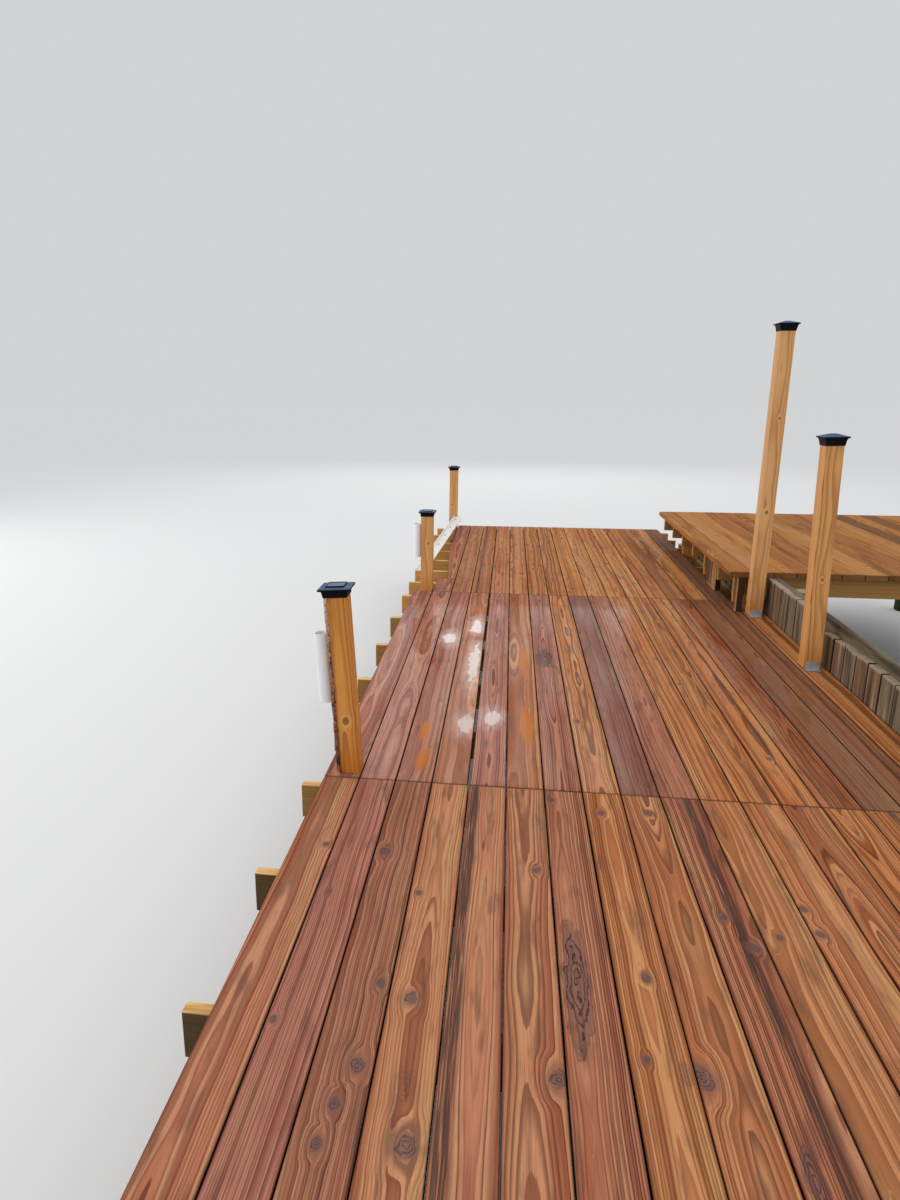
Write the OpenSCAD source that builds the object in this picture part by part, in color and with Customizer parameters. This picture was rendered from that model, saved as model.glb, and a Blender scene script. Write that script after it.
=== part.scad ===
// Timber jetty along a planked bank wall, with a raised deck on the land side.
// Millimetres, +Z up. Y runs along the jetty, X from the water to the land.
// The posts and wall planks end where they meet the water, at Z = 0.

/* [Lumber] */
// Width of a deck board
board_w = 140; // [90:1:240]
// Thickness of a deck board
board_t = 38; // [25:1:60]
// Open gap between two boards
board_gap = 4; // [2:0.5:10]
// Bevel along a board's top edges
board_bevel = 3; // [1:0.5:6]
// Thickness of a joist, beam or wale
joist_t = 38; // [30:1:50]
// Height of a joist on edge
joist_h = 140; // [90:1:240]
// Height of the beam that carries the joists
beam_h = 184; // [120:1:300]
// Side of a square post
post_w = 89; // [75:1:110]

/* [Lower deck] */
// Length of one bay, seam to seam
bay_l = 3048; // [2700:1:3600]
// Rows of boards from the water to the wall
deck_rows = 17; // [15:1:20]
// Height of the deck's top above the water
deck_h = 650; // [500:1:1500]
// How far the joist ends stand out over the water
joist_stub = 90; // [60:1:150]
// Joist spaces in the near and middle bays
joist_spaces = 5; // [4:1:7]
// Joist spaces in the far bay
joist_spaces_far = 7; // [6:1:9]
// Gap between the last board and the bank wall
wall_gap = 6; // [3:1:12]

/* [Worn corner] */
// Where the cut edge starts, measured from the deck's water side
cut_from = 225; // [200:1:260]
// Where the cut edge ends, at the far end of the deck
cut_to = 65; // [20:1:90]

/* [Water posts] */
// Heights of the wood above the deck, near to far
water_post_rise = [705, 755, 590, 650]; // [400:1:1200]
// Outward lean of each post in degrees, near to far
water_post_lean = [0, 3.4, 0, 0]; // [0:0.1:5]
// Distance from the deck's water side to a post
post_inset = 47; // [45:1:50]
// Distance from a seam to the post's near face
post_set_back = 40; // [39:1:80]
// Clearance round a post where it passes the boards
post_clear = 3; // [1:0.5:3.5]
// Width of the bark edge left on the leaning post
wane = 16; // [8:1:25]

/* [Shore posts] */
// Heights of the wood above the deck, near to far
shore_post_rise = [1243, 1868]; // [900:1:2200]
// Lean of each post towards the water in degrees, near to far
shore_post_lean = [1.6, 0]; // [0:0.1:3]
// Distance from the near post's near face back to where the near planks stop
shore_post_back = 122; // [95:1:600]
// Gap between the far post and the raised deck
shore_post_far_gap = 4; // [1:0.5:60]
// Gap between the posts and the bank wall
shore_post_gap = 40; // [20:1:46]
// Width of the galvanised shoe's strap
shoe_w = 76; // [50:1:85]
// Thickness of the shoe's plate
shoe_t = 3; // [2:0.5:5]
// Height of the shoe's legs on the post
shoe_leg = 45; // [30:1:55]
// Length of the shoe's tabs on the deck
shoe_tab = 38; // [20:1:60]

/* [Post caps] */
// Clearance between a cap and its post
cap_clear = 0.5; // [0.3:0.1:1.5]
// Thickness of a cap's wall
cap_wall = 2.5; // [1.5:0.1:4]
// Depth of the collar on the water posts
collar_h = 28; // [20:1:40]
// Depth of the collar on the shore posts
shore_collar_h = 38; // [25:1:50]
// Width of the brim
brim_w = 126; // [115:1:150]
// Thickness of the brim
brim_t = 8; // [5:1:12]
// Side of the dark panel on the water caps
panel_w = 74; // [50:1:90]
// Thickness of the dark panel
panel_t = 6; // [3:1:10]
// Height of the low roof on the shore caps
cap_roof = 14; // [8:1:30]

/* [Rod holders] */
// Outer diameter of the tube
tube_d = 60; // [50:1:75]
// Wall of the tube
tube_wall = 4; // [3:0.5:6]
// Lengths of the two tubes, near and far
tube_l = [283, 254]; // [200:1:400]
// Heights of their lower ends above the deck, near and far
tube_z = [295, 248]; // [100:1:450]

/* [Bank wall] */
// Height of the near planks above the deck
wall_rise_near = 200; // [150:1:240]
// Height of the middle planks and the wale above the deck
wall_rise = 245; // [240:1:400]
// How unevenly the near planks are cut off
wall_ragged = 14; // [0:1:30]
// Where the near planks stop
wall_near_l = 4750; // [3000:1:4800]
// Width of the opening where a plank is missing
wall_missing = 180; // [100:1:400]
// Height of the lower wale above the water
low_wale_z = 180; // [60:1:300]
// Distance between the posts behind the wall
wall_post_step = 1800; // [1200:1:2400]

/* [Raised deck] */
// How far its boards reach out past the front joist
raised_front = 69; // [50:1:120]
// Length of the raised deck
raised_l = 2760; // [2400:1:3200]
// Rows of boards on the raised deck
raised_rows = 17; // [8:1:24]
// Height of its top above the lower deck
raised_rise = 283; // [270:1:320]
// How far it reaches over the lower deck
raised_over = 100; // [60:1:130]
// How far its first board reaches past the joist ends
raised_lip = 50; // [20:1:90]
// Distance from the land side to the land beam
land_beam_inset = 150; // [80:1:400]

/* [Loose bumper strip] */
// Gap between the last post and the strip's far end, which leans on it
strip_gap = 0.5; // [0.3:0.1:20]
// Width of its nailing flange
strip_w = 90; // [60:1:110]
// Thickness of the flange
strip_t = 6; // [4:1:10]
// Diameter of the bead along its edge
bead_d = 16; // [10:1:30]
// Turn of the strip towards the land in degrees
strip_turn = 5.2; // [4:0.1:6]
// Slope of the strip in degrees
strip_slope = 4.2; // [3:0.1:6]

/* [Hidden] */

// Colours
wet_pine = [0.47, 0.23, 0.12];
honey_pine = [0.72, 0.47, 0.22];
joist_pine = [0.52, 0.40, 0.22];
grey_pine = [0.33, 0.25, 0.21];
black_plastic = [0.06, 0.06, 0.07];
panel_blue = [0.17, 0.21, 0.30];
white_pvc = [0.90, 0.90, 0.88];
zinc = [0.68, 0.70, 0.72];
off_white = [0.82, 0.82, 0.76];

$fn = 64;
bays = 3;
far_bay = bays - 1;
// A cut reaches this far past the faces that it opens
over = 1;
// A sloping piece lies this far off the faces that carry it
rest = 0.3;

pitch = board_w + board_gap;
deck_w = deck_rows * pitch - board_gap;
deck_l = bays * bay_l;
joist_top = deck_h - board_t;
beam_top = joist_top - joist_h;

wall_x = deck_w + wall_gap;
ledger_x = wall_x - joist_t;
wale_x = wall_x + board_t;

// The far bay is one row narrower, to leave room for the raised deck
far_edge = deck_w - pitch;
raised_x = far_edge - raised_over;
raised_w = raised_rows * pitch - board_gap;
joist_end = raised_x + raised_lip;
raised_top = deck_h + raised_rise;
raised_joist_top = raised_top - board_t;
raised_joist_z = raised_joist_top - joist_h;
far_step = bay_l / joist_spaces_far;
raised_y = raised_joist_y(0) - raised_front;
raised_end = raised_y + raised_l;
raised_joist_count = floor((raised_end - joist_t - raised_joist_y(0)) / far_step) + 1;
land_beam_x = raised_x + raised_w - land_beam_inset;

wall_middle_y = wall_near_l + wall_missing;
wall_end = raised_end;

post_x = post_inset + post_w;
shore_post_x = wall_x - shore_post_gap;
shore_post_y = [wall_near_l - shore_post_back, raised_y - shore_post_far_gap - post_w];
// A shore post runs straight this far above its shoe before it leans
shore_straight = 20;

// The origin is the middle of the footprint, on the water line
mid_x = (raised_x + raised_w - joist_stub) / 2;
mid_y = deck_l / 2;

function seam_y(i) = i * bay_l;
function water_post_y(i) = i < bays
    ? seam_y(i) + post_set_back
    : deck_l - post_set_back - post_w;
function bay_spaces(bay) = bay == far_bay ? joist_spaces_far : joist_spaces;
// The first and last joists stand flush with the ends of the deck
function joist_y(bay, i) =
    min(deck_l - joist_t, max(0, seam_y(bay) + i * bay_l / bay_spaces(bay) - joist_t / 2));
// The raised joists lie halfway between the joists below
function raised_joist_y(i) = joist_y(far_bay, 0) + (i - 0.5) * far_step;
function cut_x(y) = cut_from + (cut_to - cut_from) * (y - joist_y(far_bay, 1))
    / (deck_l - joist_y(far_bay, 1));

module place() {
    translate([-mid_x, -mid_y, 0]) children();
}

// A board with bevelled top edges, lying along Y
module board(l) {
    translate([0, l, 0])
        rotate([90, 0, 0])
            linear_extrude(l)
                polygon([
                    [0, 0],
                    [board_w, 0],
                    [board_w, board_t - board_bevel],
                    [board_w - board_bevel, board_t],
                    [board_bevel, board_t],
                    [0, board_t - board_bevel]
                ]);
}

module deck_row(bay, row, from, to) {
    translate([row * pitch, from + board_gap / 2, joist_top])
        board(to - from - board_gap);
}

// Opening in the outer board for a post
module post_notch(i) {
    translate([post_inset - post_clear, water_post_y(i) - post_clear, joist_top - over])
        cube([board_w, post_w + 2 * post_clear, board_t + 2 * over]);
}

module deck_boards(bay) {
    color(wet_pine) {
        difference() {
            deck_row(bay, 0, seam_y(bay), seam_y(bay + 1));
            intersection() {
                post_notch(bay);
                translate([0, seam_y(bay), 0]) cube([board_w + over, bay_l, deck_h + over]);
            }
        }
        for (row = [1 : deck_rows - 1])
            deck_row(bay, row, seam_y(bay), seam_y(bay + 1));
    }
}

// The side that a slanting cut leaves standing in the far bay
module cut_side() {
    y0 = joist_y(far_bay, 1);
    translate([0, 0, joist_top - over])
        linear_extrude(board_t + 2 * over)
            polygon([
                [cut_x(y0), y0],
                [2 * pitch, y0],
                [2 * pitch, deck_l + over],
                [cut_x(deck_l + over), deck_l + over]
            ]);
}

// In the far bay the outer board is gone and the next one is cut off at a slant
module deck_boards_far() {
    joist_1 = joist_y(far_bay, 1) + joist_t / 2;
    wedge_y = joist_y(far_bay, joist_spaces_far - 2) + joist_t / 2;
    color(wet_pine) {
        intersection() {
            deck_row(far_bay, 0, wedge_y, water_post_y(bays) - post_clear + board_gap / 2);
            cut_side();
        }
        deck_row(far_bay, 1, seam_y(far_bay), joist_1);
        intersection() {
            deck_row(far_bay, 1, joist_1, deck_l);
            cut_side();
        }
        for (row = [2 : deck_rows - 2])
            deck_row(far_bay, row, seam_y(far_bay), deck_l);
    }
}

module deck_joists(bay) {
    last = bay == far_bay ? bay_spaces(bay) : bay_spaces(bay) - 1;
    color(joist_pine)
        for (i = [0 : last])
            translate([-joist_stub, joist_y(bay, i), beam_top])
                cube([ledger_x + joist_stub, joist_t, joist_h]);
}

// One of the two planks that grip the posts under the joists
module water_beam(x) {
    color(joist_pine)
        translate([x, 0, beam_top - beam_h])
            cube([joist_t, deck_l, beam_h]);
}

module wall_ledger() {
    color(joist_pine)
        translate([ledger_x, 0, joist_top - beam_h])
            cube([joist_t, raised_end, beam_h]);
}

// A square post whose top leans towards the water. Its land-side face bends at
// the origin, the part below is upright and the top end is cut square.
module bent_post(below, rise, lean) {
    s = sin(lean);
    c = cos(lean);
    bend = [[0, 0], [-post_w, -post_w * tan(lean / 2)]];
    translate([0, post_w, 0])
        rotate([90, 0, 0])
            linear_extrude(post_w)
                polygon([
                    [-post_w, -below],
                    [0, -below],
                    if (lean > 0) bend[0],
                    [-rise * s, rise * c],
                    [-rise * s - post_w * c, rise * c - post_w * s],
                    if (lean > 0) bend[1]
                ]);
}

// Puts its children in the frame of a water post's leaning part
module on_water_post(i) {
    translate([post_x, water_post_y(i), deck_h])
        rotate([0, -water_post_lean[i], 0])
            children();
}

module water_post(i) {
    rise = water_post_rise[i];
    color(honey_pine)
        difference() {
            translate([post_x, water_post_y(i), deck_h])
                bent_post(deck_h, rise, water_post_lean[i]);
            if (water_post_lean[i] > 0)
                on_water_post(i)
                    translate([-post_w, 0, rise / 2])
                        rotate([0, 0, 45])
                            cube([wane, wane, rise + 2 * post_w], center = true);
        }
}

// A four-sided block that narrows or widens from w0 to w1
module frustum(w0, w1, h) {
    side = [[-w0 / 2, 0], [w0 / 2, 0], [w1 / 2, h], [-w1 / 2, h]];
    w = max(w0, w1) + 2 * over;
    intersection() {
        translate([0, w / 2, 0]) rotate([90, 0, 0]) linear_extrude(w) polygon(side);
        rotate([0, 0, 90])
            translate([0, w / 2, 0]) rotate([90, 0, 0]) linear_extrude(w) polygon(side);
    }
}

// A flared cap with a socket for the post. Z = 0 is the post's top.
module post_cap(collar, roof_w, roof_h) {
    socket = post_w + 2 * cap_clear;
    foot = socket + 2 * cap_wall;
    color(black_plastic)
        difference() {
            union() {
                translate([0, 0, -collar]) frustum(foot, foot + collar / 2, collar);
                translate([-brim_w / 2, -brim_w / 2, 0]) cube([brim_w, brim_w, brim_t]);
                translate([0, 0, brim_t]) frustum(brim_w - 2 * over, roof_w, roof_h);
            }
            translate([-socket / 2, -socket / 2, -collar - over])
                cube([socket, socket, collar + over]);
        }
}

module water_cap(i) {
    on_water_post(i)
        translate([-post_w / 2, post_w / 2, water_post_rise[i]])
            post_cap(collar_h, panel_w + 4 * over, cap_wall);
}

module cap_panels() {
    color(panel_blue)
        for (i = [0 : bays])
            on_water_post(i)
                translate([
                    -(post_w + panel_w) / 2,
                    (post_w - panel_w) / 2,
                    water_post_rise[i] + brim_t + cap_wall
                ])
                    cube([panel_w, panel_w, panel_t]);
}

// A tube open at both ends on the water side of a post
module rod_holder(i, l, z) {
    color(white_pvc)
        on_water_post(i)
            translate([-post_w - tube_d / 2, post_w / 2, z])
                difference() {
                    cylinder(d = tube_d, h = l);
                    translate([0, 0, -over])
                        cylinder(d = tube_d - 2 * tube_wall, h = l + 2 * over);
                }
}

module on_shore_post(i) {
    translate([shore_post_x, shore_post_y[i], deck_h + shoe_leg + shore_straight])
        rotate([0, -shore_post_lean[i], 0])
            children();
}

function shore_lean_rise(i) = shore_post_rise[i] - shoe_leg - shore_straight;

module shore_post(i) {
    below = shoe_leg + shore_straight - shoe_t;
    color(honey_pine)
        translate([shore_post_x, shore_post_y[i], deck_h + shoe_t + below])
            bent_post(below, shore_lean_rise(i), shore_post_lean[i]);
}

module shore_cap(i) {
    on_shore_post(i)
        translate([-post_w / 2, post_w / 2, shore_lean_rise(i)])
            post_cap(shore_collar_h, brim_w / 4, cap_roof);
}

// Bent strap under a shore post, with a leg on two faces and a tab at each end
module shore_shoe(i) {
    reach = shoe_t + shoe_tab;
    color(zinc)
        translate([shore_post_x - (post_w + shoe_w) / 2, shore_post_y[i], deck_h])
            rotate([90, 0, 90])
                linear_extrude(shoe_w)
                    polygon([
                        [-reach, 0],
                        [post_w + reach, 0],
                        [post_w + reach, shoe_t],
                        [post_w + shoe_t, shoe_t],
                        [post_w + shoe_t, shoe_leg],
                        [post_w, shoe_leg],
                        [post_w, shoe_t],
                        [0, shoe_t],
                        [0, shoe_leg],
                        [-shoe_t, shoe_leg],
                        [-shoe_t, shoe_t],
                        [-reach, shoe_t]
                    ]);
}

// Upright planks side by side from one Y to another
module wall_planks(from, to, top, ragged) {
    count = floor((to - from + board_gap) / pitch);
    drops = rands(0, max(ragged, 0.001), count, 7);
    color(grey_pine)
        for (i = [0 : count - 1])
            translate([wall_x, from + i * pitch, 0])
                cube([board_t, board_w, top - (ragged > 0 ? drops[i] : 0)]);
}

// A level plank behind the wall, on edge
module wale(from, to, top) {
    color(grey_pine)
        translate([wale_x, from, top - joist_h])
            cube([joist_t, to - from, joist_h]);
}

module wall_posts() {
    count = floor((wall_end - post_w) / wall_post_step);
    color(grey_pine)
        for (i = [0 : count])
            translate([wale_x + joist_t, i * wall_post_step, 0])
                cube([
                    post_w,
                    post_w,
                    i * wall_post_step < raised_y - post_w ? deck_h + wall_rise : raised_joist_z
                ]);
}

module raised_boards() {
    color(wet_pine)
        for (row = [0 : raised_rows - 1])
            translate([raised_x + row * pitch, raised_y, raised_joist_top])
                board(raised_l);
}

module raised_joists() {
    color(joist_pine)
        for (i = [0 : raised_joist_count - 1])
            translate([joist_end, raised_joist_y(i), raised_joist_z])
                cube([raised_x + raised_w - joist_t - joist_end, joist_t, joist_h]);
}

// Plank on edge that closes the joist ends on the land side
module raised_rim() {
    color(joist_pine)
        translate([raised_x + raised_w - joist_t, raised_y, raised_joist_z])
            cube([joist_t, raised_l, joist_h]);
}

// A short plank on end that reaches up to the raised boards
module stub(x, y, z, w, l) {
    translate([x, y, z]) cube([w, l, raised_joist_top - z]);
}

// Stubs beside the edge of the far bay: one on the boards that end at its seam,
// the others on every second joist
module raised_props() {
    x = far_edge + wall_gap;
    color(honey_pine) {
        stub(x, seam_y(far_bay) - board_gap / 2 - joist_t, deck_h, post_w, joist_t);
        for (i = [2 : 2 : joist_spaces_far])
            if (joist_y(far_bay, i) + joist_t < raised_end)
                stub(x, joist_y(far_bay, i), joist_top, post_w, joist_t);
    }
}

// Short planks on the lower deck's edge, a narrow one at the front corner and
// two in the middle of the second space between the raised joists
module raised_skirt() {
    x = far_edge - joist_t;
    pair_l = pitch + board_w;
    color(grey_pine) {
        stub(x, raised_y + board_gap, deck_h, joist_t, raised_front - board_gap);
        for (i = [0, 1])
            stub(
                x,
                raised_joist_y(1) + (far_step + joist_t - pair_l) / 2 + i * pitch,
                deck_h,
                joist_t,
                board_w
            );
    }
}

module raised_land_beam() {
    color(joist_pine)
        translate([land_beam_x, raised_y, raised_joist_z - beam_h])
            cube([joist_t, raised_l, beam_h]);
}

module raised_land_posts() {
    color(grey_pine)
        for (i = [0 : 2])
            translate([
                land_beam_x + joist_t,
                raised_y + i * (raised_l - post_w) / 2,
                0
            ])
                cube([post_w, post_w, raised_joist_z]);
}

// A vinyl edge strip that has come off and lies between a bare joist end and
// the last post
module edge_bumper() {
    slot_w = strip_w / 6;
    slots = 6;
    start_y = joist_y(far_bay, 2) + joist_t / 4;
    run = water_post_y(bays) - strip_gap - start_y - bead_d / 2 * sin(strip_turn);
    strip_l = run / (cos(strip_turn) * cos(strip_slope));
    color(off_white)
        translate([bead_d / 2 - joist_stub, start_y, joist_top + rest])
            rotate([strip_slope, 0, -strip_turn])
                difference() {
                    union() {
                        cube([strip_w, strip_l, strip_t]);
                        translate([0, strip_l, bead_d / 2])
                            rotate([90, 0, 0]) cylinder(d = bead_d, h = strip_l);
                    }
                    for (i = [0 : slots - 1])
                        translate([
                            bead_d + slot_w,
                            (i + 0.5) * strip_l / slots,
                            -over
                        ])
                            cube([slot_w, 3 * slot_w, strip_t + 2 * over]);
                }
}

place() deck_boards(0);  // deck_boards_near
place() deck_boards(1);  // deck_boards_middle
place() deck_boards_far();
place() deck_joists(0);  // deck_joists_near
place() deck_joists(1);  // deck_joists_middle
place() deck_joists(far_bay);  // deck_joists_far
place() water_beam(post_inset - joist_t);  // water_beam_outer
place() water_beam(post_x);  // water_beam_inner
place() wall_ledger();
place() water_post(0);  // water_post_1
place() water_post(1);  // water_post_2
place() water_post(2);  // water_post_3
place() water_post(3);  // water_post_4
place() water_cap(0);  // water_cap_1
place() water_cap(1);  // water_cap_2
place() water_cap(2);  // water_cap_3
place() water_cap(3);  // water_cap_4
place() cap_panels();
place() rod_holder(1, tube_l[0], tube_z[0]);  // rod_holder_near
place() rod_holder(2, tube_l[1], tube_z[1]);  // rod_holder_far
place() shore_post(0);  // shore_post_near
place() shore_post(1);  // shore_post_far
place() shore_cap(0);  // shore_cap_near
place() shore_cap(1);  // shore_cap_far
place() shore_shoe(0);  // shore_shoe_near
place() shore_shoe(1);  // shore_shoe_far
place() wall_planks(0, wall_near_l, deck_h + wall_rise_near, wall_ragged);  // wall_planks_near
place() wall_planks(wall_middle_y, raised_y, deck_h + wall_rise, 0);  // wall_planks_middle
place() wall_planks(raised_y, wall_end, raised_joist_z, 0);  // wall_planks_far
place() wale(0, raised_y, deck_h + wall_rise);  // wall_wale
place() wale(raised_y, wall_end, raised_joist_z);  // wall_wale_far
place() wale(0, wall_end, low_wale_z + joist_h);  // wall_wale_low
place() wall_posts();
place() raised_boards();
place() raised_joists();
place() raised_rim();
place() raised_props();
place() raised_skirt();
place() raised_land_beam();
place() raised_land_posts();
place() edge_bumper();
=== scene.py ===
from functools import partialmethod
import bpy
import numpy as np
from mathutils import Matrix, Vector


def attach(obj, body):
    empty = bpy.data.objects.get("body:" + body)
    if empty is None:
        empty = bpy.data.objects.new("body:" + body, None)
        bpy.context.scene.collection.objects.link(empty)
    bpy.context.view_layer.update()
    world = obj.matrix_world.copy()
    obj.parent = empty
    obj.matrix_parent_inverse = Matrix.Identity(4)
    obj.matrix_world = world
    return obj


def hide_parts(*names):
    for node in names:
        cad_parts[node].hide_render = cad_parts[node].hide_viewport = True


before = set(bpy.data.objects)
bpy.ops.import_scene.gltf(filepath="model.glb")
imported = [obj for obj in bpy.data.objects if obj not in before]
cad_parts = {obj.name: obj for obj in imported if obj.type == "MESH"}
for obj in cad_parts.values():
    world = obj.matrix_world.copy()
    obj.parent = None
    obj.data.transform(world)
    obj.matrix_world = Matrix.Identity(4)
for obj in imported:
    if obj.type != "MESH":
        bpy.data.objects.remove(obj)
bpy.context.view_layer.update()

bpy.context.scene.view_settings.view_transform = "Standard"

# Camera
# It stands at eye height over the near bay and looks along the jetty and a little down. Its place,
# its three turns and its small sideways shift come from the board gaps, the seams and the posts.
EYE = Vector((-1.5866, -4.3849, 2.1455))
YAW, TILT, ROLL = np.radians((-7.8456, 14.7759, 0.089))
SENSOR = 36
FOCAL_PIXELS, FRAME_PIXELS = 806.25, 1200
ahead = Vector((np.sin(YAW) * np.cos(TILT), np.cos(YAW) * np.cos(TILT), -np.sin(TILT)))
level = Vector((np.cos(YAW), -np.sin(YAW), 0))
down = ahead.cross(level)
right = np.cos(ROLL) * level + np.sin(ROLL) * down
down = -np.sin(ROLL) * level + np.cos(ROLL) * down
camera = bpy.data.objects.new("camera", bpy.data.cameras.new("camera"))
bpy.context.scene.collection.objects.link(camera)
camera.matrix_world = Matrix.Translation(EYE) @ Matrix((right, -down, -ahead)).transposed().to_4x4()
camera.data.lens = SENSOR * FOCAL_PIXELS / FRAME_PIXELS
camera.data.sensor_width = SENSOR
camera.data.shift_x = 0.0435
bpy.context.scene.camera = camera

# Water posts
# Four square posts of honey-coloured pressure-treated pine along the water side, which pass up
# between two beams and through notches in the outer board. The second one has been pushed over
# outwards and still has a strip of bark along one corner.

# Sizes are in millimetres from the near corner of the deck on the water side, which SHIFT moves to
# its place in the frame. A way is the direction along a stick and that of its top face.
SHIFT = np.array([-2.277, -4.572, 0])
ALONG = (0, 1, 0), (0, 0, 1)
ACROSS = (1, 0, 0), (0, 0, 1)
UPRIGHT = (0, 0, 1), (0, -1, 0)
BAY = 3048
JETTY = 3 * BAY
DECK = 650
POST = 89
POST_X = 91.5
POST_Y = (40, BAY + 40, 2 * BAY + 40, JETTY - 40 - POST)
POST_RISE = (705, 755, 590, 650)
POST_LEAN = np.radians((0, 3.4, 0, 0))
CAP_ROOM = 0.5
WANE = 11.3
MARK_FADE = (1.8, 3)
CREASE = np.radians(40)


def outline(width, thick, edge, face_points):
    """The outline of a sawn stick seen along it from its start: a rectangle from -width/2 to width/2
    and from 0 down to -thick with a quarter circle of radius edge at each corner, and face_points
    more points spread over its top face. It runs against the clock."""
    quarter = np.linspace(0, np.pi / 2, 4)
    parts = []
    for turn, (side, end) in enumerate(((1, 1), (-1, 1), (-1, -1), (1, -1))):
        angle = quarter + turn * np.pi / 2
        x = side * (width / 2 - edge) + edge * np.cos(angle)
        z = end * (thick / 2 - edge) - thick / 2 + edge * np.sin(angle)
        parts.append(np.stack([x, z], 1))
        if turn == 0:
            x = np.linspace(width / 2 - edge, edge - width / 2, face_points + 2)[1:-1]
            parts.append(np.stack([x, 0 * x], 1))
    return np.concatenate(parts)


def near(marks, across, along):
    """For every point its distance from the nearest of the marks, each of which is (across, along,
    half width, half length, weight): the distance across as a share of the half width, the distance
    along as a share of the half length, and the mark's weight, which fades out over MARK_FADE and
    where the next mark is as near."""
    if len(marks) == 0:
        return np.zeros(across.shape + (3,))
    marks = np.array(marks, float)
    far = (along[..., None] - marks[:, 1]) / marks[:, 3]
    pick = np.abs(far).argmin(-1)
    order = np.sort(np.abs(far), -1)
    lead = order[..., 1] - order[..., 0] if len(marks) > 1 else 9
    far = np.take_along_axis(far, pick[..., None], -1)[..., 0]
    aside = (across - marks[pick, 0]) / marks[pick, 2]
    fade = np.interp(np.abs(far), MARK_FADE, (1, 0)) * np.clip(5 * lead - 1, 0, 1)
    return np.stack([aside, far, marks[pick, 4] * fade], -1)


def switches(marks):
    """Pairs of places along a stick between which the nearest mark changes, 1.2 mm apart."""
    marks = sorted(marks, key=lambda mark: mark[1])
    return [(a[1] * b[3] + b[1] * a[3]) / (a[3] + b[3]) + side
            for a, b in zip(marks, marks[1:]) for side in (-0.6, 0.6)]


def timber(start, way, width, thick, length, seed, edge=3, face_points=1, step=400, shape=None,
           heart=None, tone=(0, 0.5, 1), streak=(0, 10, 0), knots=(), pools=(), stains=(), shut=(0, 0)):
    """A sawn stick in millimetres: its outline carried along a straight line from start, the middle of
    its top face, with both ends eased by an inset of half the edge radius. shape may move the points
    (across, down, along) before they are placed. Each point also keeps its own place in the stick and
    what the finish needs: where the heart of the log lay, the tone, a dark streak, the nearest knot,
    pool and stain, and how far each side is shut in by a neighbour."""
    rng = np.random.default_rng(seed)
    along, face = np.array(way, float)
    stops = [np.linspace(0, length, max(3, round(length / step) + 1)), [edge / 2, length - edge / 2]]
    knots = [(across, place, radius, radius * 1.25, radius / 1000) for across, place, radius in knots]
    for mark in (*knots, *pools, *stains):
        stops.append(mark[1] + mark[3] * np.array([-MARK_FADE[1], -MARK_FADE[0], 0, *MARK_FADE]))
    stops += [switches(marks) for marks in (knots, pools, stains)]
    stops = np.unique(np.clip(np.concatenate(stops), 0, length).round(1))
    stops = stops[np.concatenate([[True], np.diff(stops) > 0.5])]
    stops[-1] = length
    inset = np.where((stops == 0) | (stops == length), edge / 2, 0)[:, None]
    ring = outline(width, thick, edge, face_points)
    across = ring[:, 0] * (1 - 2 * inset / width)
    below = (ring[:, 1] + thick / 2) * (1 - 2 * inset / thick) - thick / 2
    run = stops[:, None] + 0 * across
    moved = (across, below, run) if shape is None else shape(across, below, run)
    side = np.cross(along, face)
    points = np.array(start) + sum(m[..., None] * v for m, v in zip(moved, (side, face, along)))
    if heart is None:
        heart = (rng.uniform(-45, 45), rng.uniform(-60, -15), rng.uniform(4, 7))
    same = np.ones(across.shape + (1,))
    looks = {
        "wood": np.stack([across, below, run + rng.uniform(0, 40000)], -1) / 1000,
        "heart": same * np.array(heart) / 1000,
        "tone": same * np.array(tone),
        "streak": same * np.array([streak[0] / 1000, streak[1] / 1000, streak[2]]),
        "knot": near(knots, across, run),
        "pool": near(pools, across, run),
        "stain": near(stains, across, run),
        # rim: distance from the side and from the nearer end, and whether a neighbour shuts that side in;
        # the finishes paint shade into the gaps from it.
        "rim": np.stack([(width / 2 - np.abs(across)) / 1000, np.minimum(run, length - run) / 1000,
                         np.where(across > 0, shut[1], shut[0]) + 0 * across], -1),
    }
    return points, looks


def join(name, sticks, nodes, material):
    """One piece from several grids of points (around, along). Neighbouring rings are joined by
    four-sided faces, and the first and last ring are filled, or joined where they are the same. The
    piece hangs in the frame with evened-out normals and its finish."""
    points, faces, looks = [], [], {}
    count = 0
    for grid, look in sticks:
        closed = np.allclose(grid[0], grid[-1])
        if closed:
            grid = grid[:-1]
        index = count + np.arange(grid.shape[0] * grid.shape[1]).reshape(grid.shape[:2])
        rings = np.concatenate([index, index[:1]]) if closed else index
        beside = np.roll(rings, -1, 1)
        faces += np.stack([rings[:-1], rings[1:], beside[1:], beside[:-1]], -1).reshape(-1, 4).tolist()
        if not closed:
            faces += [index[0].tolist(), index[-1][::-1].tolist()]
        points.append(grid.reshape(-1, 3) / 1000 + SHIFT)
        for key, value in look.items():
            looks.setdefault(key, []).append(value.reshape(-1, 3))
        count += index.size
    mesh = bpy.data.meshes.new(name)
    mesh.from_pydata(np.concatenate(points), [], faces)
    for key, values in looks.items():
        layer = mesh.attributes.new(key, "FLOAT_VECTOR", "POINT")
        layer.data.foreach_set("vector", np.concatenate(values).astype(np.float32).ravel())
    mesh.polygons.foreach_set("use_smooth", np.ones(len(mesh.polygons), bool))
    mesh.set_sharp_from_angle(angle=CREASE)
    mesh.materials.append(material)
    piece = bpy.data.objects.new(name, mesh)
    bpy.context.scene.collection.objects.link(piece)
    even = piece.modifiers.new("even faces", "WEIGHTED_NORMAL")
    even.keep_sharp = True
    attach(piece, "root")
    if nodes:
        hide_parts(*nodes)


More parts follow.
